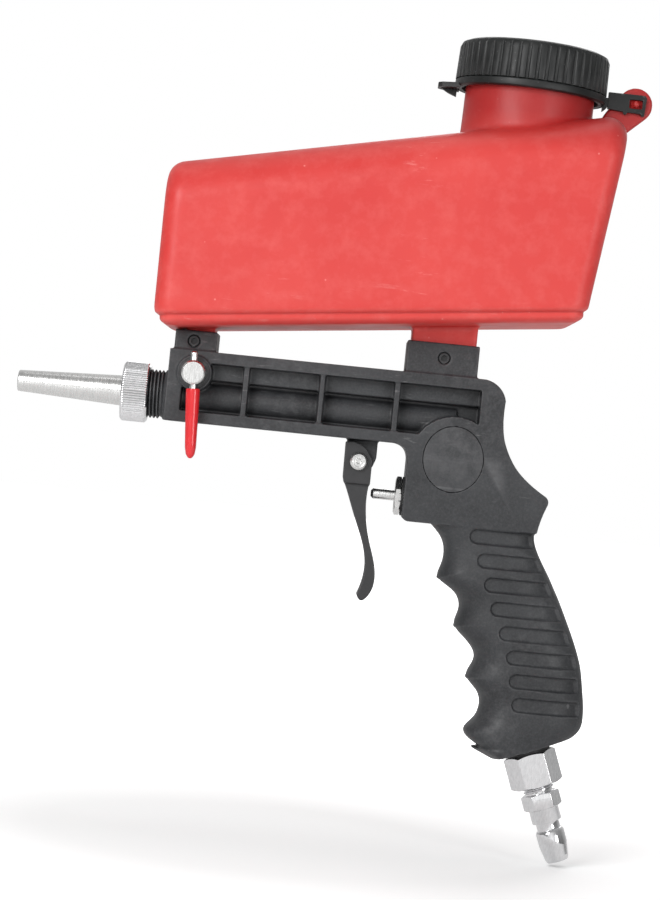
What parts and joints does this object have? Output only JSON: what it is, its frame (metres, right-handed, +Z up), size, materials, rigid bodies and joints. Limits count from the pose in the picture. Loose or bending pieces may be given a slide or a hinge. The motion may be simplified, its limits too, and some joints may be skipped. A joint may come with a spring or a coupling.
{
  "type": "abrasive blasting gun",
  "caption": "Hand-held gravity-feed abrasive blasting gun: red hopper with strapped screw cap, ribbed pistol body, feed lever, trigger, clamped nozzle and air plug.",
  "frame": {"origin": "where the blast axis meets the front face of the threaded nose, the seat of the nozzle's flange", "axes": "+X along the blast axis towards the back of the gun, so the blast leaves along -X; +Z up to the hopper; -Y is the side with the feed lever"},
  "size_m": [0.2494, 0.076, 0.3349],
  "materials": {
    "body_plastic": "black glass-filled nylon with a fine grain and light scuffs",
    "hopper_plastic": "red blow-moulded polyethylene, satin",
    "cap_plastic": "black polypropylene, satin",
    "soft_black": "soft black rubber",
    "black_steel": "black-oxide steel",
    "turned_steel": "turned, zinc plated steel",
    "chrome_steel": "bright plated steel",
    "sleeve_red": "glossy red dipped PVC",
    "brass": "turned brass",
    "trigger_black": "die-cast lever with black paint"
  },
  "bodies": {
    "gun": {"gun_body": "body_plastic", "hopper": "hopper_plastic", "feed_seal": "soft_black", "leg_set_screws": "black_steel", "side_disc_lever_side": "body_plastic", "side_disc_far_side": "body_plastic", "cap_strap": "cap_plastic", "air_jet": "brass", "trigger_pivot_bolt": "turned_steel", "trigger_pivot_nut": "turned_steel", "valve_seat": "brass", "pin_seal": "soft_black", "gland_washer": "soft_black", "gland_nut": "turned_steel", "valve_spring": "turned_steel", "inlet_fitting": "chrome_steel", "inlet_washer": "soft_black", "air_plug": "chrome_steel"},
    "nozzle_mover": {"nozzle": "turned_steel"},
    "nut_mover": {"nozzle_nut": "chrome_steel"},
    "cap_lifter": {"cap_ring": "cap_plastic"},
    "cap_turner": {"hopper_cap": "cap_plastic", "cap_gasket": "soft_black"},
    "feed_valve": {"feed_valve_stem": "turned_steel", "stem_seals": "soft_black", "stem_clip": "black_steel", "lever_rod": "turned_steel", "lever_sleeve": "sleeve_red"},
    "trigger": {"trigger": "trigger_black"},
    "air_valve": {"valve_pin": "turned_steel", "valve_poppet": "brass"}
  },
  "joints": [
    {"name": "nozzle_draw", "type": "slide", "parent": "gun", "child": "nozzle_mover", "axis": [-1, 0, 0], "range_m": [0, 0.012]},
    {"name": "nozzle_nut_turn", "type": "hinge", "parent": "nozzle_mover", "child": "nut_mover", "pos_m": [0, 0, 0], "axis": [-1, 0, 0], "range_deg": [0, 2880]},
    {"name": "cap_lift", "type": "slide", "parent": "gun", "child": "cap_lifter", "axis": [0.0305, 0, 0.9995], "range_m": [0, 0.01], "deforming": ["cap_strap"]},
    {"name": "cap_turn", "type": "hinge", "parent": "cap_lifter", "child": "cap_turner", "pos_m": [0.1497, 0, 0.1392], "axis": [0.0305, 0, 0.9995], "range_deg": [0, 900]},
    {"name": "feed_lever_turn", "type": "hinge", "parent": "gun", "child": "feed_valve", "pos_m": [0.0238, 0, 0.0099], "axis": [0, -1, 0], "range_deg": [0, 90]},
    {"name": "trigger_pull", "type": "hinge", "parent": "gun", "child": "trigger", "pos_m": [0.0942, 0, -0.0193], "axis": [0, -1, 0], "range_deg": [0, 16], "stiffness_Nm_per_rad": 0.25, "springref_deg": -11.46},
    {"name": "air_valve_stroke", "type": "slide", "parent": "gun", "child": "air_valve", "axis": [1, 0, 0], "range_m": [0, 0.0026], "deforming": ["valve_spring"]}
  ],
  "couplings": [
    {"joint": "nozzle_draw", "follows": "nozzle_nut_turn", "m_per_rad": 0.00023873},
    {"joint": "cap_lift", "follows": "cap_turn", "m_per_rad": 0.00063662},
    {"joint": "air_valve_stroke", "follows": "trigger_pull", "m_per_rad": 0.0093106}
  ]
}
